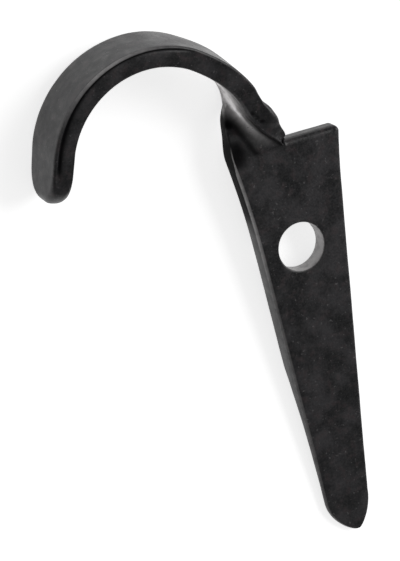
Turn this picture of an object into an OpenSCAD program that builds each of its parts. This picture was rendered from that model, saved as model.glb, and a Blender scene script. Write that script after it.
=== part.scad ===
// Twisted crampet: a one-piece forged wall hook for a 25 mm pipe or conduit.
// A flat bar is drawn down to a tapered tang that is driven into a joint or
// fixed through its hole. At the head the bar is split down the middle. The
// right half ends in a shoulder, which takes the hammer. The left half is
// twisted a quarter turn and bent over into the open hook that holds the pipe. The
// twist starts as a fold that runs on a slant across the strip.
// The hook's narrow edges stand proud of the tang, front and back.

/* [Bar] */
// Thickness of the flat bar
bar_t = 3; // [2.6:0.1:3.4]
// Radius worn on the long edges
edge_r = 0.45; // [0.2:0.05:0.6]

/* [Tang] */
// Width of the tapered tang where it reaches the shoulder
head_w = 15.8; // [15:0.1:17]
// Width where the point starts
point_w = 6.9; // [5:0.1:8]
// Distance from the fixing hole to the tip of the point
tang_l = 43.4; // [36:0.2:50]
// Distance from the fixing hole up to the struck shoulder
shoulder_h = 15.7; // [14:0.1:17]
// Length of the rounded point, measured along the tang
point_l = 5.4; // [4:0.1:7]
// Thickness left at the tip, thinned from the back
tip_t = 0.7; // [0.6:0.1:1.2]
// Length of the thinned end
thin_l = 26; // [18:1:30]
// Amount by which the left edge swells out below the twist
flare = 1.0; // [0:0.1:1.5]

/* [Fixing hole] */
// Diameter of the fixing hole
hole_d = 7; // [5:0.1:7.4]
// How far the hole sits to the left of the tang's middle line
hole_shift = 0.5; // [0:0.1:0.8]

/* [Shoulder] */
// Radius of the shoulder's outer corner
corner_r = 0.8; // [0.6:0.1:1.6]
// How far the blows have spread the shoulder's outer corner
upset = 0.3; // [0:0.05:0.5]
// Length of the edge below the shoulder that has spread
upset_l = 7; // [4:0.5:9]
// Radius that the hammer leaves along the shoulder's edges
struck_r = 0.9; // [0.5:0.1:1.2]

/* [Hook] */
// Diameter of the pipe seat
seat_d = 25; // [24.4:0.1:25.4]
// Width of the strip that is bent into the hook
strip_w = 8.5; // [8:0.1:8.8]
// Length of the straight leg at the free end
leg_l = 7; // [5:0.2:11]
// Depth of the rounding of the free end
end_round = 3.2; // [2:0.1:3.6]
// Width that the strip loses along the leg
leg_taper = 0.8; // [0:0.1:1.2]
// Angle by which the hook leans forward of the tang
hook_lean = 5; // [3:0.5:7]

/* [Hidden] */
steel = "#2b2b2d";

// Where the hook's centre lies, from the fixing hole
seat_x = -19.7;
seat_y = 19.9;
// Angles at which the bend starts, above the twist, and ends, at the leg
bend_start = 60;
bend_end = 167;
// Step between the sections round the bend
bend_step = 2.5;
// Sections along the point, the tang, the shoulder and the twist
n_point = 9;
n_thin = 7;
n_tang = 9;
n_corner = 4;
n_shoulder = 5;
n_twist = 32;
n_leg = 3;
n_end = 8;
// Steps across each face
n_across = 7;
// The twist starts as a fold that crosses the strip on a slant: where along the neck it
// meets the right edge, how much later it meets the left one, its spread, its angle, and
// the share of the neck in which it rises from the split
fold_start = 0.11;
fold_slant = 0.53;
fold_spread = 0.54;
fold_turn = 83.3;
fold_ease = 0.31;
// Extra turn half-way up the neck, and the length of the two ends' pull on it
over_turn = 8.1;
root_pull = 6.7;
bend_pull = 44.6;
// How far the neck sways out of the bar's plane and across it
rise = -0.58;
wave = 0.15;
// How far the sheared edge swells beside the split, and over what share of the neck
swell = 0.15;
swell_share = 0.43;
// Where the strip parts from the bar: place of the split, its height over the shoulder,
// and how far below it the left edge already turns
strip_x = -0.27;
split_h = 0.33;
left_drop = 2.09;
// How far short of the split the shoulder's edge ends
split_gap = 0.45;
// Shape of the point's outline, of the thinning behind it and of the point's rows
point_power = 0.8;
thin_power = 2.7;
row_power = 1.6;
// How far the tip lies to the right of the tang's middle line
tip_shift = 0.9;
// Length of the tang's last stretch, in which its edge starts for the shoulder
head_gap = 1.6;
// Width of the blunt tip and width of the last section of the free end
tip_w = 0.9;
end_w = 1.4;
// Share of the thickness left at the free end, and the length of its rounding
end_t = 0.4;
thick_round = 1.5;
// Share of half of the thickness that an edge's radius may take
most_round = 0.85;
// Metal that the true seat takes off the inside of the bend
seat_skin = 0.06;
// Sides of the true round surfaces
round_fn = 96;

root_y = shoulder_h + split_h;
mid_r = seat_d / 2 + bar_t / 2 - seat_skin;
seat_c = [seat_x, seat_y, 0];
tip_y = -tang_l;
point_y = tip_y + point_l;
thin_y = tip_y + thin_l;

// ---- Small helpers --------------------------------------------------------
X = [1, 0, 0];
Y = [0, 1, 0];
Z = [0, 0, 1];
function unit(v) = v / norm(v);
function mix(a, b, k) = a + (b - a) * k;
function clamp01(k) = min(1, max(0, k));
// Step from 0 to 1 with soft ends
function smooth(k) = let (c = clamp01(k)) c * c * (3 - 2 * c);
// Item of a list at share u of its length, mixed from the two nearest ones
function at_share(list, u) =
    let (k = clamp01(u) * (len(list) - 1), i = min(floor(k), len(list) - 2))
    mix(list[i], list[i + 1], k - i);
// Turn in degrees at share k of the neck, from the left edge (v = -1) to the right (v = 1)
function turn_at(k, v) =
    let (front = fold_start + fold_slant * (1 - v) / 2,
         folded = smooth((k - front) / fold_spread + 0.5) * smooth(k / fold_ease))
    fold_turn * folded + (90 - fold_turn) * smooth(k) + over_turn * sin(180 * k);
// Turn of a point about the cross line at the root of the strip
function lean(p, a) =
    [p.x, root_y + (p.y - root_y) * cos(a) - p.z * sin(a),
     (p.y - root_y) * sin(a) + p.z * cos(a)];
function lean_dir(v, a) = [v.x, v.y * cos(a) - v.z * sin(a), v.y * sin(a) + v.z * cos(a)];

// ---- Outline of the tang ---------------------------------------------------
function tang_half(y) = mix(point_w, head_w, (y - point_y) / (shoulder_h - point_y)) / 2;
// The point narrows from the straight sides to the blunt tip
function point_share(y) = pow(1 - pow(clamp01((point_y - y) / point_l), 2), point_power);
tip_x = hole_shift + tip_shift;
function side_x(y, side) =
    y >= point_y ? hole_shift + side * tang_half(y)
    : mix(tip_x + side * tip_w / 2, hole_shift + side * tang_half(point_y), point_share(y));
function left_x(y) = side_x(y, -1) - flare * pow(clamp01(y / shoulder_h), 2);
function right_x(y) = side_x(y, 1) + upset * pow(clamp01((y - shoulder_h + upset_l) / upset_l), 2);
function left_at(y) = [left_x(y), y, 0];
// Thickness along the tang: full at the head, thin at the tip
function thick(y) = mix(tip_t, bar_t, pow(clamp01((y - tip_y) / thin_l), thin_power));

// A station is one cross section of the bar: points of its middle surface from left to
// right and the directions of its front face there, the outward directions of its left
// and right ends, half of its thickness and the radii of its left and right edges
function station(points, fronts, out_l, out_r, h, r_l, r_r) =
    [points, fronts, out_l, out_r, h, min(r_l, most_round * h), min(r_r, most_round * h)];
function flat_station(l, r, out_r, r_r) =
    let (h = thick(min(l.y, r.y)) / 2, up = Z * (bar_t / 2 - h))
    station([l + up, r + up], [Z, Z], -X, out_r, h, edge_r, r_r);

point_rows = [for (i = [0 : n_point - 1]) tip_y + point_l * pow(i / n_point, row_power)];
tang_top = shoulder_h - corner_r - head_gap;
tang_rows = concat([for (i = [0 : n_thin - 1]) mix(point_y, thin_y, i / n_thin)],
    [for (i = [0 : n_tang]) mix(thin_y, tang_top, i / n_tang)]);
tang_stations = [for (y = concat(point_rows, tang_rows))
    flat_station(left_at(y), [right_x(y), y, 0], X, edge_r)];

// The right end runs up the edge, round the corner and in along the shoulder
// to the split, while the left end climbs to the root of the strip
corner_x = right_x(shoulder_h - corner_r) - corner_r;
corner_walk = [for (i = [0 : n_corner]) let (a = 90 * i / n_corner, d = [cos(a), sin(a), 0])
    [[corner_x, shoulder_h - corner_r, 0] + corner_r * d, d, mix(edge_r, struck_r, a / 90)]];
shoulder_walk = [for (i = [1 : n_shoulder])
    [[mix(corner_x, strip_x + split_gap, i / n_shoulder), shoulder_h, 0], Y, struck_r]];
walk = concat(corner_walk, shoulder_walk);
left_root_y = root_y - left_drop;
head_stations = [for (i = [0 : len(walk) - 1])
    flat_station(left_at(mix(tang_top, left_root_y, (i + 1) / (len(walk) + 1))),
        walk[i][0], walk[i][1], walk[i][2])];

// ---- Strip: twisted neck, bend and leg --------------------------------------
root_l = left_at(left_root_y);
root_r = [strip_x, root_y, 0];
root_w = unit(root_r - root_l);
root_c = (root_l + root_r) / 2;
root_dir = [-root_w.y, root_w.x, 0];
root_half = norm(root_r - root_l) / 2;
function bend_dir(a) = [cos(a), sin(a), 0];
bend_c = seat_c + mid_r * bend_dir(bend_start);
bend_along = [-sin(bend_start), cos(bend_start), 0];
// Centre line of the neck: a cubic from the root to the start of the bend
function neck_at(k) =
    (2 * k^3 - 3 * k^2 + 1) * root_c + (k^3 - 2 * k^2 + k) * root_pull * root_dir
    + (3 * k^2 - 2 * k^3) * bend_c + (k^3 - k^2) * bend_pull * bend_along
    + rise * sin(180 * k)^2 * Z + wave * sin(360 * k) * root_w;
// Short step along the neck that gives its direction
near = 0.01;
function neck_side(k) = let (d = neck_at(k + near) - neck_at(k - near)) unit([d.y, -d.x, 0]);
// A section of the strip round its centre point c: turns holds its turn at even steps from
// the left edge to the right one, so that it bends across its width where they differ.
// The right edge may reach further out than half the width
function strip_station(c, side, turns, half, h, tilt, further = 0) =
    let (n = len(turns) - 1, step = (2 * half + further) / n,
         along = [for (a = turns) cos(a) * side + sin(a) * Z],
         run = [for (i = 0, p = [0, 0, 0]; i <= n; i = i + 1,
             p = i > n ? p : p + step * (along[i - 1] + along[i]) / 2) p],
         centre = at_share(run, half / (2 * half + further)),
         points = [for (p = run) lean(c + p - centre, tilt)],
         fronts = [for (a = turns) lean_dir(cos(a) * Z - sin(a) * side, tilt)])
    station(points, fronts, unit(points[0] - points[1]), unit(points[n] - points[n - 1]), h,
        edge_r, edge_r);
// Swelling of the sheared right edge, out and in again beside the split
function swell_at(k) =
    let (u = clamp01(k / swell_share)) swell * sin(360 * u) * sin(180 * u);
across = [for (i = [0 : n_across]) 2 * i / n_across - 1];
full_turns = [for (v = across) 90];
neck_stations = [for (i = [0 : n_twist]) let (k = i / n_twist)
    strip_station(neck_at(k), neck_side(k), [for (v = across) turn_at(k, v)],
        mix(root_half, strip_w / 2, k), bar_t / 2, hook_lean * smooth(k), swell_at(k))];
bend_stations = [for (a = [bend_start + bend_step : bend_step : bend_end])
    strip_station(seat_c + mid_r * bend_dir(a), bend_dir(a), full_turns, strip_w / 2,
        bar_t / 2, hook_lean)];
leg_start = seat_c + mid_r * bend_dir(bend_end);
leg_along = [-sin(bend_end), cos(bend_end), 0];
// The leg is straight, and its free end is rounded across the strip
function leg_half(s) =
    let (k = clamp01((s - leg_l + end_round) / end_round))
    mix(end_w, strip_w - leg_taper * s / leg_l, sqrt(max(0, 1 - k^2))) / 2;
function leg_thick(s) =
    let (k = clamp01((s - leg_l + thick_round) / thick_round))
    bar_t * mix(end_t, 1, sqrt(max(0, 1 - k^2)));
leg_rows = concat([for (i = [1 : n_leg]) (leg_l - end_round) * i / n_leg],
    [for (i = [1 : n_end]) leg_l - end_round + end_round * sin(90 * i / n_end)]);
leg_stations = [for (s = leg_rows)
    strip_station(leg_start + s * leg_along, bend_dir(bend_end), full_turns, leg_half(s),
        leg_thick(s) / 2, hook_lean)];

// ---- The bar as one loft through all its sections ----------------------------
// Steps round a long edge from its end face (0) to the bar's face (90)
edge_turns = [0, 45, 90];
edge_turns_back = [90, 45, 0];
function edge_points(p, out, front, h, r, turns, side) = [for (a = turns)
    p - r * (1 - cos(a)) * out + side * (h - r + r * sin(a)) * front];
// A face between its two edges; from and to are shares of the section's width
function face_points(q, from, to, side) = [for (i = [1 : n_across - 1])
    let (u = mix(from, to, i / n_across)) at_share(q[0], u) + side * q[4] * at_share(q[1], u)];
function section(q) =
    let (l = q[0][0], r = q[0][len(q[0]) - 1], f_l = q[1][0], f_r = q[1][len(q[1]) - 1],
         h = q[4], r_l = q[5], r_r = q[6],
         w = norm(q[0][1] - l) * (len(q[0]) - 1), u_l = r_l / w, u_r = 1 - r_r / w)
    concat(edge_points(r, q[3], f_r, h, r_r, edge_turns_back, -1),
        edge_points(r, q[3], f_r, h, r_r, edge_turns, 1),
        face_points(q, u_r, u_l, 1),
        edge_points(l, q[2], f_l, h, r_l, edge_turns_back, 1),
        edge_points(l, q[2], f_l, h, r_l, edge_turns, -1),
        face_points(q, u_l, u_r, -1));

// Skin of triangles over a row of closed rings, with a flat cap at each end that fans
// out from the middle of the ring's right edge
module loft(rings) {
    m = len(rings[0]);
    last = len(rings) - 1;
    hub = len(edge_turns) - 1;
    points = [for (ring = rings) each ring];
    sides = [for (i = [0 : last - 1], j = [0 : m - 1])
        let (a = i * m + j, b = i * m + (j + 1) % m)
        each [[a, b, b + m], [a, b + m, a + m]]];
    caps = [for (j = [1 : m - 2]) let (a = (hub + j) % m, b = (a + 1) % m)
        each [[hub, b, a], last * m * [1, 1, 1] + [hub, a, b]]];
    polyhedron(points, concat(sides, caps), convexity = 6);
}

module bar() {
    loft([for (q = concat(tang_stations, head_stations, neck_stations, bend_stations,
        leg_stations)) section(q)]);
}

module fixing_hole() {
    cylinder(d = hole_d, h = 3 * bar_t, center = true, $fn = round_fn);
}

// The pipe seat is trued up by a cylinder in the plane of the hook
module pipe_seat() {
    translate([0, root_y, 0]) rotate([hook_lean, 0, 0]) translate([seat_x, seat_y - root_y, 0])
        cylinder(d = seat_d, h = 3 * strip_w, center = true, $fn = round_fn);
}

// Laid down, the piece rests on three points of its back: the edge of the twist, the
// edge of the leg and the corner at which the tang begins to thin
function lowest(points) =
    let (low = min([for (p = points) p.z])) [for (p = points) if (p.z == low) p][0];
on_twist = lowest([for (q = neck_stations) each section(q)]);
on_leg = lowest([for (q = leg_stations) each section(q)]);
on_tang = left_at(thin_y) + [edge_r, 0, -bar_t / 2];
ground = unit(cross(on_twist - on_tang, on_leg - on_tang));

module crampet() {
    color(steel) rotate(a = acos(ground.z), v = cross(ground, Z)) difference() {
        bar();
        fixing_hole();
        pipe_seat();
    }
}

crampet();
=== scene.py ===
"""Twisted crampet: a forged black pipe hook that lies on its back on a white table.

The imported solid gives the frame. The piece shown here is the same bar with what the
solid leaves out: the groove and rolled lip of the sheared strip, the dent and the lump at
the root of the twist, the burr beside the split, hammer marks, and a black scale finish.
Lengths are millimetres in the bar's own frame: the origin is in the fixing hole, +Y runs
to the shoulder and +Z out of the front face. The last step lays the bar down in metres.
"""
import math

import bpy
import numpy as np
from mathutils import Matrix, Vector, noise

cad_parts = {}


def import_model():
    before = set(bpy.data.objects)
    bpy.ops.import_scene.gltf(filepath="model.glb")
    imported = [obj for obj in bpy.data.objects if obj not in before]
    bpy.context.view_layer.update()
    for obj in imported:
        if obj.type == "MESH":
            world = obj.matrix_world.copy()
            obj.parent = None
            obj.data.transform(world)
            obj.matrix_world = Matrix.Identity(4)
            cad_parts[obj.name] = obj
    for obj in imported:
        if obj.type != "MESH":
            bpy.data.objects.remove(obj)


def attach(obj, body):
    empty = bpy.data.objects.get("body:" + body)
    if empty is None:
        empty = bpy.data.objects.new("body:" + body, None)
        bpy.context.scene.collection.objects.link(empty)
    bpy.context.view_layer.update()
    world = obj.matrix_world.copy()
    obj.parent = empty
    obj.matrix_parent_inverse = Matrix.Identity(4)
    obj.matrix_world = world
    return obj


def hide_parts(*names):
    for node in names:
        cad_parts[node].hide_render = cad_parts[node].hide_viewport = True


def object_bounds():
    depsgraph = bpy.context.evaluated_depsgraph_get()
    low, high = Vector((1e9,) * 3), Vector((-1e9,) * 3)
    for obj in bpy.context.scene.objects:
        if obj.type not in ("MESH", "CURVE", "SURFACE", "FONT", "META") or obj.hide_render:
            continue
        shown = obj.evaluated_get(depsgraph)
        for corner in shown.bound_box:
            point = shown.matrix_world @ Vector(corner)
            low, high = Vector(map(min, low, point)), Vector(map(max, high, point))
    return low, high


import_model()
cad_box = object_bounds()

# ---- Driving dimensions -------------------------------------------------------------------
# They are the solid's, but for the free end, which is 0.1 shorter and a little thinner
BAR_T = 3.0
EDGE_R = 0.45
HEAD_W = 15.8
POINT_W = 6.9
TANG_L = 43.4
SHOULDER_H = 15.7
POINT_L = 5.4
TIP_T = 0.7
THIN_L = 26.0
FLARE = 1.0
HOLE_D = 7.0
HOLE_SHIFT = 0.5
CORNER_R = 0.8
UPSET = 0.3
UPSET_L = 7.0
STRUCK_R = 0.9
SEAT_D = 25.0
STRIP_W = 8.5
LEG_L = 6.9
END_ROUND = 3.2
LEG_TAPER = 0.8
HOOK_LEAN = 5.0

# Centre of the hook, and the angles at which its bend starts and ends
SEAT_C = np.array([-19.7, 19.9, 0.0])
BEND_START = 60
BEND_END = 167.0
# Where the strip parts from the bar: its height over the shoulder, its place, and how far
# below it the left edge already turns
SPLIT_H = 0.33
STRIP_X = -0.27
LEFT_DROP = 2.09
# How far short of the split the shoulder's edge ends, and the length of the tang's last
# stretch, in which its edge starts for the shoulder
SPLIT_GAP = 0.45
HEAD_GAP = 1.6
# The fold that crosses the strip on a slant: its start and slant, its spread, its angle
# and the share of the neck in which it rises
FOLD_START = 0.11
FOLD_SLANT = 0.53
FOLD_SPREAD = 0.54
FOLD_TURN = 83.3
FOLD_EASE = 0.31
# Extra turn half-way up the neck, the pull of the neck's two ends on its course, and how
# far it sways out of the bar's plane and across it
OVER_TURN = 8.1
ROOT_PULL = 6.7
BEND_PULL = 44.6
RISE = -0.58
WAVE = 0.15
# How far the sheared edge swells beside the split, and over what share of the neck
SWELL = 0.15
SWELL_SHARE = 0.43
# Shape of the point's outline and of the thinning behind it, and the tip's shift and width
POINT_POWER = 0.8
THIN_POWER = 2.7
TIP_SHIFT = 0.9
TIP_W = 0.9
# Free end: width of its last section, share of the thickness left there, length over which
# it thins, and length and radius of its thumb-like rounding
END_W = 1.4
END_T = 0.3
THICK_ROUND = 1.5
THUMB_L = 4.5
THUMB_R = 1.35
# Metal that the true seat takes off the inside of the bend
SEAT_SKIN = 0.06

# How the bar lies: the turn from its own frame to the table's
TILT_AXIS = Vector((0.946094, -0.323893, 0.0))
TILT_DEG = 5.04523
METRES = 0.001

# ---- Mesh density ---------------------------------------------------------------------------
POINT_ROWS = 16
POINT_CROWDING = 1.6
ROW_STEP = 0.5
CORNER_ROWS = 8
SHOULDER_ROWS = 14
NECK_ROWS = 64
BEND_STEP = 2
LEG_ROWS = 8
END_ROWS = 14
FACE_COLUMNS = 26
STRIP_POINTS = 25
EDGE_STEPS = 5
EDGE_COLUMNS = 16
EDGE_CROWDING = 1.5
# Half the side of the square patch round the hole, and the loops from its rim to the
# hole's lip, round the lip in degrees, and down the wall
HOLE_PATCH = 4.9
PATCH_LOOPS = (0.3, 0.6, 0.85, 1.0)
LIP_TURNS = (30, 60, 90)
WALL_LOOPS = (0.33, 0.67)
HOLE_LIP = 0.22

# ---- Rounded edges: radii in front and behind ---------------------------------------------------
LEFT_R = (0.45, 0.5)
SPLIT_R = (0.2, 0.3)
STRIP_R = (0.45, 0.6)
LIP_FRONT_R = 0.3
LIP_BACK_R = (0.35, 0.5)
# Share of the lip's roll that is reached where the bend ends, share of the neck in which
# the edges soften, and share of half of the thickness that a radius may take
LIP_AT_BEND_END = 0.6
NECK_SOFTENS = 0.3
MOST_ROUND = 0.9

# ---- Groove of the sheared edge ---------------------------------------------------------------
# A span is a start and a length, here from the start of the bend (0) to its end (1) and on
# down the leg to the free end (2)
GROOVE_DEPTH = 0.3
GROOVE_W = (0.44, 0.72)
GROOVE_AT = (0.42, 0.80)
GROOVE_IN, GROOVE_OUT, GROOVE_GROWS = (0, 0.12), (1.1, 0.45), (0.45, 0.5)
GROOVE_LOW = 0.6
EDGE_CROWN, CROWN_IN, CROWN_OUT = 0.1, (0, 0.2), (1.3, 0.6)

# ---- Painted shade and painted highlights ---------------------------------------------------------
# Left edge: painted shade on its side and a painted highlight of bright steel on its corner,
# with spans along the tang (in y) and along the neck (in shares of its length)
SIDE_SHADE, TANG_SHADE_IN, NECK_SHADE_OUT = 0.9, (2, 6), (0.4, 0.12)
EDGE_HIGHLIGHT, TANG_HIGHLIGHT, TANG_HIGHLIGHT_IN, NECK_HIGHLIGHT_OUT = 0.55, 0.25, (-10, 14), (0, 0.15)
# Painted highlight of bright steel on the lip round the bend: share of steel, place and reach
LIP_HIGHLIGHT, LIP_HIGHLIGHT_AT, LIP_HIGHLIGHT_L = 0.6, 0.50, 0.24
# Bare drilled steel in the hole's wall, which also stands in for the floor's bright reflection there
HOLE_WEAR_AND_REFLECTION = 0.55
# Painted light on the neck's front: a painted highlight band, and painted shade in the hollow and in
# the crease. They follow the fold: its number is a share of the strip's width, and grows up the neck by
# the slant
MARK_SLANT = 0.88
BAND_AT, BAND_W = 0.83, (0.20, 0.46)
BAND_WIDENS, BAND_IN, BAND_OUT = (0.38, 0.2), (0.05, 0.43), (0.8, 0.2)
HOLLOW_AT, HOLLOW_W, HOLLOW_SHADE, HOLLOW_OUT = 0.46, 0.10, 0.85, (0.35, 0.2)
CREASE_AT, CREASE_W, CREASE_SHADE = 1.11, 0.10, 0.95
CREASE_IN, CREASE_OUT = (0.02, 0.1), (0.45, 0.2)

# ---- Hammer marks and dents ---------------------------------------------------------------------
# Depth and size of the hammer's marks and of the fine dimples
HAMMER, HAMMER_SIZE = 0.03, 5.0
DIMPLE, DIMPLE_SIZE = 0.012, 1.2
# Centre, reach along x, y and z, depth (below 0 for a lump) and share of painted shade
DENTS = (
    ((-7.4, 15.4, 1.4), (1.5, 2.3, 2.2), 0.34, 1.0),
    ((-6.9, 19.6, -0.8), (1.1, 0.9, 1.4), 0.10, 1.0),
    ((-1.9, 20.6, 3.0), (1.6, 1.8, 1.9), -0.42, 0.0),
    ((-3.6, 23.4, 3.4), (1.2, 1.4, 1.4), 0.14, 0.0),
    ((-4.9, 21.3, 3.6), (0.4, 0.5, 0.6), 0.12, 0.8),
    ((-4.3, 20.6, 3.6), (0.4, 0.5, 0.6), 0.08, 0.7),
    ((-3.6, 19.9, 3.6), (0.5, 0.4, 0.6), 0.12, 0.8),
)

X, Y, Z = np.eye(3)
ACROSS = np.linspace(0, 1, FACE_COLUMNS + 1)
MID_R = SEAT_D / 2 + BAR_T / 2 - SEAT_SKIN
TIP_Y = -TANG_L
POINT_Y = TIP_Y + POINT_L
TIP_X = HOLE_SHIFT + TIP_SHIFT
ROOT_Y = SHOULDER_H + SPLIT_H
TANG_TOP = SHOULDER_H - CORNER_R - HEAD_GAP
LEFT_ROOT_Y = ROOT_Y - LEFT_DROP
SHOULDER_END = STRIP_X + SPLIT_GAP


# ---- Small helpers ----------------------------------------------------------------------
def mix(a, b, k):
    return a + (b - a) * k


def mix_pair(a, b, k):
    return tuple(mix(p, q, k) for p, q in zip(a, b))


def clamp01(k):
    return min(1.0, max(0.0, k))


def unit(v):
    return v / np.linalg.norm(v)


def cosd(angle):
    return math.cos(math.radians(angle))


def sind(angle):
    return math.sin(math.radians(angle))


def ramp(k):
    """From 0 to 1 with very soft ends."""
    c = clamp01(k)
    return c - sind(360 * c) / (2 * math.pi)


def smooth(k):
    """Smooth step from 0 to 1, also for arrays."""
    c = np.clip(k, 0, 1)
    return c * c * (3 - 2 * c)


def step_in(k, span):
    """Smooth step from 0 to 1 over a span, given as its start and its length."""
    start, length = span
    return float(smooth((k - start) / length))


def step_out(k, span):
    return 1 - step_in(k, span)


def bell(k, at, reach):
    """1 at a place, and falling off on both sides of it."""
    return np.exp(-((k - at) / reach) ** 2)


def round_dir(angle):
    return np.array([cosd(angle), sind(angle), 0.0])


def lean(p, angle):
    """Turns points forward about the cross line at the root of the strip."""
    y, z = p[..., 1] - ROOT_Y, p[..., 2]
    return np.stack([p[..., 0], ROOT_Y + y * cosd(angle) - z * sind(angle),
                     y * sind(angle) + z * cosd(angle)], -1)


def lean_dir(v, angle):
    return np.stack([v[..., 0], v[..., 1] * cosd(angle) - v[..., 2] * sind(angle),
                     v[..., 1] * sind(angle) + v[..., 2] * cosd(angle)], -1)


# ---- Outline of the tang ------------------------------------------------------------------
def tang_half(y):
    return mix(POINT_W, HEAD_W, (y - POINT_Y) / (SHOULDER_H - POINT_Y)) / 2


def point_share(y):
    return (1 - clamp01((POINT_Y - y) / POINT_L) ** 2) ** POINT_POWER


def side_x(y, side):
    if y >= POINT_Y:
        return HOLE_SHIFT + side * tang_half(y)
    return mix(TIP_X + side * TIP_W / 2, HOLE_SHIFT + side * tang_half(POINT_Y), point_share(y))


def left_x(y):
    return side_x(y, -1) - FLARE * clamp01(y / SHOULDER_H) ** 2


def right_x(y):
    return side_x(y, 1) + UPSET * clamp01((y - SHOULDER_H + UPSET_L) / UPSET_L) ** 2


def thick(y):
    return mix(TIP_T, BAR_T, clamp01((y - TIP_Y) / THIN_L) ** THIN_POWER)


# ---- Cross sections -------------------------------------------------------------------------
def neck_marks(k, u):
    """Painted shade and painted highlight on the front of the neck, at share k of its
    length and u of its width."""
    fold = u + MARK_SLANT * k
    band = bell(fold, BAND_AT, mix(*BAND_W, step_in(k, BAND_WIDENS))) * step_in(k, BAND_IN)
    hollow = bell(fold, HOLLOW_AT, HOLLOW_W) * step_out(k, HOLLOW_OUT)
    crease = bell(fold, CREASE_AT, CREASE_W) * step_in(k, CREASE_IN) * step_out(k, CREASE_OUT)
    return (np.maximum(HOLLOW_SHADE * hollow, CREASE_SHADE * crease),
            band * step_out(k, BAND_OUT))


# Depth, width, place from the outer face, crown of the land beside it, and share of painted shade
NO_GROOVE = (0, 1, 1, 0, 0)


class Section:
    """One cross section: points and normals of its middle surface from left to right,
    the outward directions and corner radii (front, back) of its ends."""

    def __init__(self, points, normals, out_l, out_r, half, r_left, r_right, groove=NO_GROOVE):
        self.points, self.normals = points, normals
        self.out_l, self.out_r = out_l, out_r
        self.half = half
        self.groove = groove
        self.neck_k = None
        self.edge_highlight = self.side_shade = self.lip_highlight = 0.0
        self.r_left = [min(r, MOST_ROUND * half) for r in r_left]
        self.r_right = [min(r, MOST_ROUND * half) for r in r_right]

    def at(self, u):
        k = np.clip(u, 0, 1) * (len(self.points) - 1)
        i = np.minimum(k.astype(int), len(self.points) - 2)
        f = (k - i)[:, None]
        return (mix(self.points[i], self.points[i + 1], f),
                mix(self.normals[i], self.normals[i + 1], f))

    def corner(self, tip, out, normal, radius):
        """A quarter round from the end's flat to the face on the side of normal."""
        turns = np.radians(np.linspace(0, 90, EDGE_STEPS + 1))[:, None]
        middle = tip - radius * out + (self.half - radius) * normal
        return middle + radius * (np.cos(turns) * out + np.sin(turns) * normal)

    def sheared_edge(self):
        """The right end's flat, from the back corner to the front one, and its share of the
        groove: this follows the outer edge of the bend, beside a slightly crowned land."""
        depth, width, at, crown, _ = self.groove
        low, high = self.r_right[1], 2 * self.half - self.r_right[0]
        across = mix(low, high, np.linspace(0, 1, EDGE_COLUMNS + 2)[1:-1] ** EDGE_CROWDING)
        dip = bell(across, at, width / 2)
        share = np.clip((across - at) / (high - at), 0, 1)
        rise = crown * np.sin(math.pi * share) - depth * dip
        points = (self.points[-1] + (across - self.half)[:, None] * self.normals[-1]
                  + rise[:, None] * self.out_r)
        return points, dip

    def face(self, side, r_left, r_right):
        """The face between the two corners, from left to right."""
        if len(self.points) == 2:
            inner_l = self.points[0] - r_left * self.out_l
            inner_r = self.points[1] - r_right * self.out_r
            return mix(inner_l, inner_r, ACROSS[1:-1, None]) + side * self.half * self.normals[0]
        width = np.linalg.norm(np.diff(self.points, axis=0), axis=1).sum()
        u = mix(r_left / width, 1 - r_right / width, ACROSS)[1:-1]
        points, normals = self.at(u)
        return points + side * self.half * normals

    def ring(self):
        """Closed ring: right end from back to front, front face, left end, back face."""
        left, right = self.points[0], self.points[-1]
        n_l, n_r = self.normals[0], self.normals[-1]
        return np.vstack([
            self.corner(right, self.out_r, -n_r, self.r_right[1])[::-1],
            self.sheared_edge()[0],
            self.corner(right, self.out_r, n_r, self.r_right[0]),
            self.face(1, self.r_left[0], self.r_right[0])[::-1],
            self.corner(left, self.out_l, n_l, self.r_left[0])[::-1],
            self.corner(left, self.out_l, -n_l, self.r_left[1]),
            self.face(-1, self.r_left[1], self.r_right[1]),
        ])

    def marks(self):
        """Shares of painted shade and of painted highlight along the ring."""
        start = EDGE_STEPS + 1
        front = start + EDGE_COLUMNS
        u = np.concatenate([np.ones(start), mix(1, 0, ACROSS[1:-1]), np.zeros(start)])
        end = front + len(u)
        round_share = np.linspace(0, 1, start)
        painted_shade, wear_and_highlight = values = np.zeros((2, len(self.ring())))
        # Painted shade darkens the groove of the sheared edge
        painted_shade[start:front] = self.groove[4] * self.sheared_edge()[1]
        # Painted highlight of bright steel round the lip's back corner
        wear_and_highlight[:start] = self.lip_highlight * np.sin(math.pi * round_share)
        # Painted shade in the neck's hollow and crease, and a painted highlight band across it
        if self.neck_k is not None:
            values[:, front:end] = neck_marks(self.neck_k, u)
        # Painted highlight of bright steel on the left edge's front corner
        wear_and_highlight[end - start:end] += self.edge_highlight * np.sin(math.pi * round_share)
        # Painted shade on the left edge's side and back corner
        painted_shade[end - start:end] += self.side_shade * round_share ** 3
        painted_shade[end:end + start] += self.side_shade * (1 - round_share ** 3)
        return np.clip(values, 0, 1)


def flat_section(left, right, out_r, radius):
    half = thick(min(left[1], right[1])) / 2
    up = Z * (BAR_T / 2 - half)
    points = np.array([left + up, right + up])
    section = Section(points, np.array([Z, Z]), -X, out_r, half, LEFT_R, (radius, radius))
    # Painted shade on the left side near the head, and a painted highlight on its front corner
    section.side_shade = SIDE_SHADE * step_in(left[1], TANG_SHADE_IN)
    section.edge_highlight = mix(TANG_HIGHLIGHT, EDGE_HIGHLIGHT, step_in(left[1], TANG_HIGHLIGHT_IN))
    return section


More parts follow.
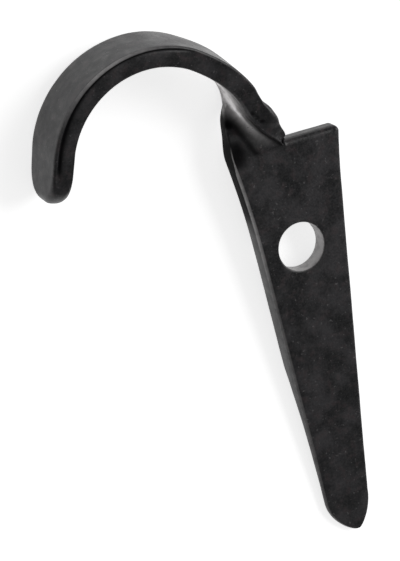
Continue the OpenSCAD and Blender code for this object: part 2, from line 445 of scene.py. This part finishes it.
def strip_section(middle, side, turn, half_w, half_t, tilt, r_left, r_right,
                  swell=0.0, groove=NO_GROOVE):
    """A section of the strip: turn gives its turn in degrees from the left edge (-1) to the
    right one (1), and the strip bends across its width where that changes. The section is
    then leant forward."""
    v = np.linspace(-1, 1, STRIP_POINTS)
    t = np.radians(turn(v))[:, None]
    across = np.cos(t) * side + np.sin(t) * Z
    width = 2 * half_w + swell
    run = np.vstack([np.zeros(3), np.cumsum(across[1:] + across[:-1], axis=0)])
    run *= width / 2 / (STRIP_POINTS - 1)
    centre = half_w / width * (STRIP_POINTS - 1)
    points = middle + run - [np.interp(centre, range(STRIP_POINTS), run[:, i]) for i in range(3)]
    normals = np.cos(t) * Z - np.sin(t) * side
    points, normals = lean(points, tilt), lean_dir(normals, tilt)
    return Section(points, normals, unit(points[0] - points[1]), unit(points[-1] - points[-2]),
                   half_t, r_left, r_right, groove)


# ---- The bar, section by section ---------------------------------------------------------------
def tang_section(y):
    return flat_section(np.array([left_x(y), y, 0]), np.array([right_x(y), y, 0]), X, EDGE_R)


def point_sections():
    for i in range(POINT_ROWS):
        yield tang_section(TIP_Y + POINT_L * (i / POINT_ROWS) ** POINT_CROWDING)


def tang_sections():
    n = round((TANG_TOP - POINT_Y) / ROW_STEP)
    for i in range(n + 1):
        yield tang_section(mix(POINT_Y, TANG_TOP, i / n))


def head_sections():
    """The right end walks round the corner and in along the shoulder to the split."""
    corner_y = SHOULDER_H - CORNER_R
    corner_x = right_x(corner_y) - CORNER_R
    walk = []
    for i in range(CORNER_ROWS + 1):
        a = 90 * i / CORNER_ROWS
        walk.append((np.array([corner_x, corner_y, 0]) + CORNER_R * round_dir(a),
                     round_dir(a), mix(EDGE_R, STRUCK_R, a / 90)))
    for i in range(1, SHOULDER_ROWS + 1):
        x = mix(corner_x, SHOULDER_END, i / SHOULDER_ROWS)
        walk.append((np.array([x, SHOULDER_H, 0]), Y, STRUCK_R))
    for i, (end, out, radius) in enumerate(walk):
        y = mix(TANG_TOP, LEFT_ROOT_Y, (i + 1) / (len(walk) + 1))
        yield flat_section(np.array([left_x(y), y, 0]), end, out, radius)


ROOT_LEFT = np.array([left_x(LEFT_ROOT_Y), LEFT_ROOT_Y, 0])
ROOT_RIGHT = np.array([STRIP_X, ROOT_Y, 0])
ROOT_ACROSS = unit(ROOT_RIGHT - ROOT_LEFT)
ROOT_DIR = np.array([-ROOT_ACROSS[1], ROOT_ACROSS[0], 0])
ROOT_HALF = np.linalg.norm(ROOT_RIGHT - ROOT_LEFT) / 2
BEND_C = SEAT_C + MID_R * round_dir(BEND_START)


def neck_at(k):
    """Middle of the neck: a cubic from the root to the bend, with its sway."""
    return ((2 * k**3 - 3 * k**2 + 1) * (ROOT_LEFT + ROOT_RIGHT) / 2
            + (k**3 - 2 * k**2 + k) * ROOT_PULL * ROOT_DIR
            + (3 * k**2 - 2 * k**3) * BEND_C
            + (k**3 - k**2) * BEND_PULL * round_dir(BEND_START + 90)
            + RISE * sind(180 * k) ** 2 * Z + WAVE * sind(360 * k) * ROOT_ACROSS)


def neck_side(k, reach=0.01):
    """The direction across the neck, level with the bar, from the course just about k."""
    along = unit(neck_at(k + reach) - neck_at(k - reach))
    return unit(np.array([along[1], -along[0], 0]))


def turn_at(k, v):
    """The turn in degrees: a fold crosses the strip on a slant, first at the split, and the
    strip takes the rest of its quarter turn on its way to the bend."""
    front = FOLD_START + FOLD_SLANT * (1 - v) / 2
    folded = smooth((k - front) / FOLD_SPREAD + 0.5) * smooth(k / FOLD_EASE)
    return FOLD_TURN * folded + (90 - FOLD_TURN) * smooth(k) + OVER_TURN * sind(180 * k)


def full_turn(v):
    return 90 + 0 * v


def strip_radii(share):
    """Corner radii of the strip: the sheared lip has rolled over towards the outside of
    the bend, most so at the free end (share 1)."""
    return STRIP_R, (LIP_FRONT_R, mix(*LIP_BACK_R, share))


def neck_sections():
    r_left, r_right = strip_radii(0)
    for i in range(NECK_ROWS + 1):
        k = i / NECK_ROWS
        soft = ramp(k / NECK_SOFTENS)
        u = clamp01(k / SWELL_SHARE)
        section = strip_section(
            neck_at(k), neck_side(k), lambda v: turn_at(k, v), mix(ROOT_HALF, STRIP_W / 2, k),
            BAR_T / 2, HOOK_LEAN * float(smooth(k)), mix_pair(LEFT_R, r_left, soft),
            mix_pair(SPLIT_R, r_right, soft), SWELL * sind(360 * u) * sind(180 * u))
        section.neck_k = k
        # Painted shade on the left side and a painted highlight on its corner, fading up the neck
        section.side_shade = SIDE_SHADE * step_out(k, NECK_SHADE_OUT)
        section.edge_highlight = EDGE_HIGHLIGHT * step_out(k, NECK_HIGHLIGHT_OUT)
        yield section


def groove_at(path):
    """The groove at a place on the path down the bend and the leg."""
    shown = step_in(path, GROOVE_IN) * step_out(path, GROOVE_OUT)
    down = step_in(path, GROOVE_GROWS)
    return (GROOVE_DEPTH * shown * mix(GROOVE_LOW, 1, down), mix(*GROOVE_W, down),
            mix(*GROOVE_AT, down),
            EDGE_CROWN * (step_in(path, CROWN_IN) * step_out(path, CROWN_OUT)), shown)


def bend_sections():
    n = round((BEND_END - BEND_START) / BEND_STEP)
    for i in range(1, n + 1):
        share = i / n
        out = round_dir(mix(BEND_START, BEND_END, share))
        section = strip_section(SEAT_C + MID_R * out, out, full_turn, STRIP_W / 2, BAR_T / 2,
                                HOOK_LEAN, *strip_radii(LIP_AT_BEND_END * share),
                                groove=groove_at(share))
        # Painted highlight of bright steel on the lip, about half way round the bend
        section.lip_highlight = LIP_HIGHLIGHT * bell(share, LIP_HIGHLIGHT_AT, LIP_HIGHLIGHT_L)
        yield section


def leg_sections():
    """The straight leg, and the free end, rounded in its width and its thickness."""
    out, down = round_dir(BEND_END), round_dir(BEND_END + 90)
    start = SEAT_C + MID_R * out
    straight = LEG_L - END_ROUND
    rows = [straight * i / LEG_ROWS for i in range(1, LEG_ROWS + 1)]
    rows += [straight + END_ROUND * sind(90 * i / END_ROWS) for i in range(1, END_ROWS + 1)]
    for s in rows:
        k = clamp01((s - straight) / END_ROUND)
        t = clamp01((s - LEG_L + THICK_ROUND) / THICK_ROUND)
        width = mix(END_W, STRIP_W - LEG_TAPER * s / LEG_L, math.sqrt(max(0, 1 - k * k)))
        depth = BAR_T * mix(END_T, 1, math.sqrt(max(0, 1 - t * t)))
        thumb = smooth((s - LEG_L + THUMB_L) / THUMB_L)
        radii = [mix_pair(pair, (THUMB_R, THUMB_R), thumb)
                 for pair in strip_radii(mix(LIP_AT_BEND_END, 1, s / LEG_L))]
        yield strip_section(start + s * down, out, full_turn, width / 2, depth / 2, HOOK_LEAN,
                            *radii, groove=groove_at(1 + s / LEG_L))


# ---- Skin over the sections, with the fixing hole let into it -----------------------------------
class Skin:
    """The rings of the sections, joined by quads, with a square patch round the hole cut
    out in front and behind."""

    def __init__(self, rings):
        self.rings = rings
        self.rows, self.columns = rings.shape[:2]
        self.points = [tuple(p) for p in rings.reshape(-1, 3)]
        self.faces = []
        corner = 2 * (EDGE_STEPS + 1)
        right = corner + EDGE_COLUMNS
        n = FACE_COLUMNS + 1
        # Columns of the two faces, both from right to left
        self.front = [right - 1 + i for i in range(n)]
        self.back = [(right + corner + n - 3 + i) % self.columns for i in range(n)][::-1]
        self.find_patch()
        self.join_rings()
        self.cut_hole()

    def find_patch(self):
        """First and last row and column of the patch."""
        edges = self.rings[:, [self.front[0], self.front[-1]], 1]
        rows = [i for i in range(self.rows) if max(abs(edges[i])) < HOLE_PATCH]
        middle = self.rings[rows[len(rows) // 2]]
        cols = [j for j, column in enumerate(self.front) if abs(middle[column, 0]) < HOLE_PATCH]
        self.patch = rows[0], rows[-1], cols[0], cols[-1]

    def join_rings(self):
        """Quads between the rings, but for those of the patches."""
        m = self.columns
        r0, r1, c0, c1 = self.patch
        gone = set()
        for face in (self.front, self.back):
            for c in range(c0, c1):
                low, high = sorted((face[c], face[c + 1]))
                column = high if high - low > 1 else low
                gone.update((r, column) for r in range(r0, r1))
        for i in range(self.rows - 1):
            for j in range(m):
                if (i, j) not in gone:
                    k = (j + 1) % m
                    self.faces.append((i * m + j, (i + 1) * m + j, (i + 1) * m + k, i * m + k))

    def cap_ends(self):
        m = self.columns
        self.faces.append(tuple(range(m)))
        self.faces.append(tuple((self.rows - 1) * m + j for j in range(m))[::-1])

    def rim(self, face):
        """Points of the patch's rim, in order round the hole."""
        r0, r1, c0, c1 = self.patch
        rim = [(r0, c) for c in range(c0, c1)] + [(r, c1) for r in range(r0, r1)]
        rim += [(r1, c) for c in range(c1, c0, -1)] + [(r, c0) for r in range(r1, r0, -1)]
        return [r * self.columns + face[c] for r, c in rim]

    def add_loop(self, places):
        first = len(self.points)
        self.points += [tuple(p) for p in places]
        return list(range(first, len(self.points)))

    def between(self, loop_a, loop_b, share):
        pairs = [(np.array(self.points[a]), np.array(self.points[b]))
                 for a, b in zip(loop_a, loop_b)]
        return [mix(a, b, share) for a, b in pairs]

    def loops_into_hole(self, rim, z_face, inward):
        """Loops from the patch's rim to the hole's lip, then round the lip."""
        radius = HOLE_D / 2
        outs = [unit(np.array([*self.points[v][:2], 0])) for v in rim]
        lip = [out * (radius + HOLE_LIP) + Z * z_face for out in outs]
        loops = [rim]
        for share in PATCH_LOOPS:
            loops.append(self.add_loop([mix(np.array(self.points[v]), target, share)
                                        for v, target in zip(rim, lip)]))
        for turn in LIP_TURNS:
            reach = radius + HOLE_LIP * (1 - sind(turn))
            z = z_face + inward * HOLE_LIP * (1 - cosd(turn))
            loops.append(self.add_loop([out * reach + Z * z for out in outs]))
        return loops

    def bridge(self, loops, flip):
        """Quads from each loop to the next one."""
        for a, b in zip(loops, loops[1:]):
            n = len(a)
            for i in range(n):
                quad = (a[i], a[(i + 1) % n], b[(i + 1) % n], b[i])
                self.faces.append(quad[::-1] if flip else quad)

    def cut_hole(self):
        top = self.loops_into_hole(self.rim(self.front), BAR_T / 2, -1)
        under = self.loops_into_hole(self.rim(self.back), -BAR_T / 2, 1)
        self.bridge(top, True)
        self.bridge(under, False)
        wall = [self.add_loop(self.between(top[-1], under[-1], share)) for share in WALL_LOOPS]
        self.bridge([top[-1], *wall, under[-1]], True)
        self.cap_ends()


def spot(points, centre, reach):
    """1 at the centre, falling to 0 round it, with a fairly clear edge."""
    return np.exp(-(((points - centre) / reach) ** 2).sum(axis=1) ** 2)


def finish_surface(mesh, marks):
    """Moves the skin in and out by the forging's marks, and stores where shade is painted
    and where bright steel is painted: painted highlights, and bare steel in the hole's wall."""
    painted_shade, wear_and_highlight = marks
    points, normals = (np.empty(3 * len(mesh.vertices)) for _ in range(2))
    mesh.vertices.foreach_get("co", points)
    mesh.vertex_normals.foreach_get("vector", normals)
    points, normals = points.reshape(-1, 3), normals.reshape(-1, 3)
    move = np.array([HAMMER * noise.noise(Vector(p) / HAMMER_SIZE)
                     + DIMPLE * noise.noise(Vector(p) / DIMPLE_SIZE) for p in points])
    for centre, reach, depth, share in DENTS:
        there = spot(points, centre, reach)
        move -= depth * there
        # The dents are also painted dark: painted shade in their hollows
        painted_shade = np.maximum(painted_shade, share * there)
    mesh.vertices.foreach_set("co", (points + move[:, None] * normals).ravel())
    # Bare drilled steel in the hole's wall, also standing in for the floor's bright reflection there
    in_hole = np.hypot(points[:, 0], points[:, 1]) < HOLE_D / 2 + HOLE_LIP
    lip = smooth((abs(points[:, 2]) - BAR_T / 2 + HOLE_LIP) / HOLE_LIP)
    wear_and_highlight = np.maximum(wear_and_highlight, HOLE_WEAR_AND_REFLECTION * in_hole * (1 - lip))
    for name, values in (("painted_shade", painted_shade), ("wear_and_highlight", wear_and_highlight)):
        mesh.attributes.new(name, "FLOAT", "POINT").data.foreach_set("value", values)
    mesh.update()


def build_bar():
    sections = [*point_sections(), *tang_sections(), *head_sections(), *neck_sections(),
                *bend_sections(), *leg_sections()]
    skin = Skin(np.array([s.ring() for s in sections]))
    marks = np.concatenate([s.marks() for s in sections], axis=1)
    mesh = bpy.data.meshes.new("crampet_bar")
    mesh.from_pydata(skin.points, [], skin.faces)
    mesh.validate()
    mesh.update()
    finish_surface(mesh, np.pad(marks, ((0, 0), (0, len(skin.points) - marks.shape[1]))))
    mesh.polygons.foreach_set("use_smooth", [True] * len(mesh.polygons))
    return mesh


def lay_down(mesh):
    """From the bar's own frame in millimetres to the table's frame in metres."""
    turn = Matrix.Rotation(math.radians(TILT_DEG), 4, TILT_AXIS)
    mesh.transform(Matrix.Scale(METRES, 4) @ turn)


bar = bpy.data.objects.new("crampet_bar", build_bar())
bpy.context.collection.objects.link(bar)
lay_down(bar.data)
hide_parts("crampet")
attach(bar, "root")


# ---- Node trees ----------------------------------------------------------------------------
class Tree:
    """Short calls for building a node tree."""

    def __init__(self, tree):
        self.nodes, self.links = tree.nodes, tree.links

    def add(self, kind, **settings):
        node = self.nodes.new(kind)
        for name, value in settings.items():
            setattr(node, name, value)
        return node

    def link(self, a, b):
        self.links.new(a, b)

    def feed(self, socket, value):
        """Links a socket to another, or sets its number or colour."""
        if isinstance(value, tuple):
            socket.default_value = (*value, 1)
        elif isinstance(value, (int, float)):
            socket.default_value = value
        else:
            self.link(value, socket)

    def maths(self, operation, a, b):
        node = self.add("ShaderNodeMath", operation=operation)
        self.feed(node.inputs[0], a)
        self.feed(node.inputs[1], b)
        return node.outputs[0]

    def noise(self, where, size_mm, detail, roughness=0.5):
        """Noise from 0 to 1 whose blots are about size_mm wide."""
        node = self.add("ShaderNodeTexNoise")
        self.link(where, node.inputs["Vector"])
        node.inputs["Scale"].default_value = 1 / METRES / size_mm
        node.inputs["Detail"].default_value = detail
        node.inputs["Roughness"].default_value = roughness
        return node.outputs["Fac"]

    def span(self, value, span_in, span_out=(0.0, 1.0)):
        """Smooth step from one end of span_out to the other, as value crosses span_in."""
        node = self.add("ShaderNodeMapRange", interpolation_type="SMOOTHSTEP")
        self.link(value, node.inputs["Value"])
        for name, ends in (("From", span_in), ("To", span_out)):
            node.inputs[name + " Min"].default_value = ends[0]
            node.inputs[name + " Max"].default_value = ends[1]
        return node.outputs["Result"]

    def blend(self, share, a, b):
        """Colour a at share 0 and b at share 1; a and b are colours or sockets."""
        node = self.add("ShaderNodeMix", data_type="RGBA")
        self.feed(node.inputs[0], share)
        self.feed(node.inputs[6], a)
        self.feed(node.inputs[7], b)
        return node.outputs[2]


# ---- Black scale finish ----------------------------------------------------------------------------
SCALE_BLACK = (0.0070, 0.0070, 0.0080)
SCALE_GREY = (0.027, 0.0255, 0.028)
SCALE_BROWN = (0.030, 0.020, 0.022)
# Bright steel: bare steel in the hole's wall, and painted highlights on edges, lip and neck
WORN_AND_HIGHLIGHT_STEEL = (0.80, 0.78, 0.78)
SPECK_GREY = (0.110, 0.106, 0.108)
# Near-black for painted shade in the groove, the neck's hollow and crease, the dents and the left side
PAINTED_SHADE_BLACK = (0.003, 0.003, 0.0035)
# Widths of the finish's noises in millimetres
CLOUD_MM, BLOT_MM, GRAIN_MM, SPECK_MM = 3.5, 1.1, 0.28, 0.42
# Spans of noise over which each colour comes in, and the share it reaches
GREY_SPAN = (0.38, 0.66)
BROWN_SPAN, BROWN_COVER = (0.5, 0.72), 0.7
SPECK_SPAN, SPECK_COVER = (0.66, 0.78), 0.7
BARE_AND_HIGHLIGHT_SPAN, BARE_AND_HIGHLIGHT_COVER = (0.3, 0.6), (0.75, 1.0)
# Share of the painted shade's black that is reached
SHADE_COVER = 0.95
# The middle of a noise's spread, over which shine and roughness run between their ends;
# the grain adds to both
NOISE_SPREAD = (0.3, 0.7)
SHINE, GRAIN_SHINE = (0.40, 0.56), (-0.10, 0.10)
ROUGH, GRAIN_ROUGH = (0.30, 0.44), (-0.05, 0.08)
# Painted shade also roughens the surface and dims its shine
SHADE_ROUGH = 0.3
SHADE_SHINE = 0.12
# Shares of blots and grain in the relief, and its strength and height in metres
RELIEF = (0.7, 0.3)
RELIEF_STRENGTH, RELIEF_HEIGHT = 0.5, 0.00006


def black_steel():
    material = bpy.data.materials.new("black_steel")
    material.use_nodes = True
    tree = Tree(material.node_tree)
    shader = tree.nodes["Principled BSDF"]
    where = tree.add("ShaderNodeTexCoord").outputs["Object"]
    clouds = tree.noise(where, CLOUD_MM, 3)
    blots = tree.noise(where, BLOT_MM, 2)
    grain = tree.noise(where, GRAIN_MM, 3, 0.6)
    specks = tree.noise(where, SPECK_MM, 1)
    painted_shade, wear_and_highlight = (tree.add("ShaderNodeAttribute", attribute_name=name).outputs["Fac"]
                  for name in ("painted_shade", "wear_and_highlight"))

    def share_of(value, cover):
        return tree.maths("MULTIPLY", value, cover)

    scale = tree.blend(tree.span(clouds, GREY_SPAN), SCALE_BLACK, SCALE_GREY)
    scale = tree.blend(share_of(tree.span(blots, BROWN_SPAN), BROWN_COVER), scale, SCALE_BROWN)
    scale = tree.blend(share_of(tree.span(specks, SPECK_SPAN), SPECK_COVER), scale, SPECK_GREY)
    # Painted shade: nearly black where the attribute marks shade
    scale = tree.blend(share_of(painted_shade, SHADE_COVER), scale, PAINTED_SHADE_BLACK)
    # Bright metallic steel: painted highlights, and bare steel in the hole
    bare_and_highlight = share_of(wear_and_highlight, tree.span(blots, BARE_AND_HIGHLIGHT_SPAN, BARE_AND_HIGHLIGHT_COVER))
    tree.link(tree.blend(bare_and_highlight, scale, WORN_AND_HIGHLIGHT_STEEL), shader.inputs["Base Color"])
    tree.link(bare_and_highlight, shader.inputs["Metallic"])
    shine = tree.maths("ADD", tree.span(blots, NOISE_SPREAD, SHINE),
                       tree.span(grain, NOISE_SPREAD, GRAIN_SHINE))
    shine = share_of(shine, tree.span(painted_shade, (0, 1), (1.0, SHADE_SHINE)))
    tree.link(shine, shader.inputs["Specular IOR Level"])
    rough = tree.maths("ADD", tree.span(clouds, NOISE_SPREAD, ROUGH),
                       tree.span(grain, NOISE_SPREAD, GRAIN_ROUGH))
    rough = tree.maths("ADD", rough, share_of(painted_shade, SHADE_ROUGH))
    tree.link(rough, shader.inputs["Roughness"])
    height = tree.maths("ADD", share_of(blots, RELIEF[0]), share_of(grain, RELIEF[1]))
    bump = tree.add("ShaderNodeBump")
    bump.inputs["Strength"].default_value = RELIEF_STRENGTH
    bump.inputs["Distance"].default_value = RELIEF_HEIGHT
    tree.link(height, bump.inputs["Height"])
    tree.link(bump.outputs["Normal"], shader.inputs["Normal"])
    return material


bar.data.materials.append(black_steel())


# ---- Table, light and camera --------------------------------------------------------------------------
TABLE_SIZE = 6.0
TABLE_GAP = 0.00002
TABLE_WHITE = 0.85
TABLE_ROUGH = (0.82, 0.96)
FIBRE_MM = 1.5
TABLE_LIFT = 0.72
TABLE_SHEEN = 0.6
ROOM_LIGHT = 0.24
LAMP_AT = Vector((0.50, 0.14, 0.42))
LAMP_SIZE = 0.5
LAMP_POWER = 2.4


def white_sheet():
    """It is lifted to white for the camera, and it glows a little in what the steel
    reflects, as a lit studio sheet does."""
    material = bpy.data.materials.new("white_sheet")
    material.use_nodes = True
    tree = Tree(material.node_tree)
    shader = tree.nodes["Principled BSDF"]
    shader.inputs["Base Color"].default_value = (TABLE_WHITE, TABLE_WHITE, TABLE_WHITE, 1)
    fibres = tree.noise(tree.add("ShaderNodeTexCoord").outputs["Object"], FIBRE_MM, 3)
    tree.link(tree.span(fibres, NOISE_SPREAD, TABLE_ROUGH), shader.inputs["Roughness"])
    glow = tree.add("ShaderNodeEmission")
    path = tree.add("ShaderNodeLightPath")
    seen = tree.maths("MULTIPLY", path.outputs["Is Camera Ray"], TABLE_LIFT)
    mirrored = tree.maths("MULTIPLY", path.outputs["Is Glossy Ray"], TABLE_SHEEN)
    tree.link(tree.maths("ADD", seen, mirrored), glow.inputs["Strength"])
    both = tree.add("ShaderNodeAddShader")
    tree.link(shader.outputs[0], both.inputs[0])
    tree.link(glow.outputs[0], both.inputs[1])
    tree.link(both.outputs[0], tree.nodes["Material Output"].inputs["Surface"])
    return material


def table():
    half = TABLE_SIZE / 2
    z = cad_box[0][2] - TABLE_GAP
    mesh = bpy.data.meshes.new("table")
    mesh.from_pydata([(-half, -half, z), (half, -half, z), (half, half, z), (-half, half, z)],
                     [], [(0, 1, 2, 3)])
    mesh.materials.append(white_sheet())
    floor = bpy.data.objects.new("table", mesh)
    bpy.context.collection.objects.link(floor)


def world():
    """White for the camera, and a dim room for everything else."""
    studio = bpy.data.worlds.new("studio")
    bpy.context.scene.world = studio
    studio.use_nodes = True
    tree = Tree(studio.node_tree)
    room, white = tree.nodes["Background"], tree.add("ShaderNodeBackground")
    for background, strength in ((room, ROOM_LIGHT), (white, 1)):
        background.inputs["Color"].default_value = (1, 1, 1, 1)
        background.inputs["Strength"].default_value = strength
    pick = tree.add("ShaderNodeMixShader")
    tree.link(tree.add("ShaderNodeLightPath").outputs["Is Camera Ray"], pick.inputs["Fac"])
    tree.link(room.outputs[0], pick.inputs[1])
    tree.link(white.outputs[0], pick.inputs[2])
    tree.link(pick.outputs[0], tree.nodes["World Output"].inputs["Surface"])


def softbox():
    """A square lamp that points at the bar."""
    lamp = bpy.data.lights.new("softbox", "AREA")
    lamp.shape = "SQUARE"
    lamp.size = LAMP_SIZE
    lamp.energy = LAMP_POWER
    box = bpy.data.objects.new("softbox", lamp)
    bpy.context.collection.objects.link(box)
    box.location = LAMP_AT
    box.rotation_mode = "QUATERNION"
    box.rotation_quaternion = (-box.location).to_track_quat("-Z", "Y")


# The camera looks down past the hook's end, rolled so that the shoulder is near the top
VIEW_AZIMUTH = 236.97
VIEW_ELEVATION = 64.10
VIEW_ROLL = -108.41
VIEW_DISTANCE = 0.5430
VIEW_TARGET = Vector((-0.013519, -0.002069, -0.004956))
LENS = 248.6
CLIP = (0.01, 20)


def camera():
    data = bpy.data.cameras.new("camera")
    data.lens = LENS
    data.clip_start, data.clip_end = CLIP
    cam = bpy.data.objects.new("camera", data)
    bpy.context.collection.objects.link(cam)
    a, e = math.radians(VIEW_AZIMUTH), math.radians(VIEW_ELEVATION)
    back = Vector((math.sin(a) * math.cos(e), -math.cos(a) * math.cos(e), math.sin(e)))
    cam.location = VIEW_TARGET + VIEW_DISTANCE * back
    cam.rotation_mode = "QUATERNION"
    level = (-back).to_track_quat("-Z", "Y")
    roll = Matrix.Rotation(math.radians(-VIEW_ROLL), 3, back).to_quaternion()
    cam.rotation_quaternion = roll @ level
    bpy.context.scene.camera = cam


table()
world()
softbox()
camera()
bpy.context.scene.view_settings.view_transform = "Standard"
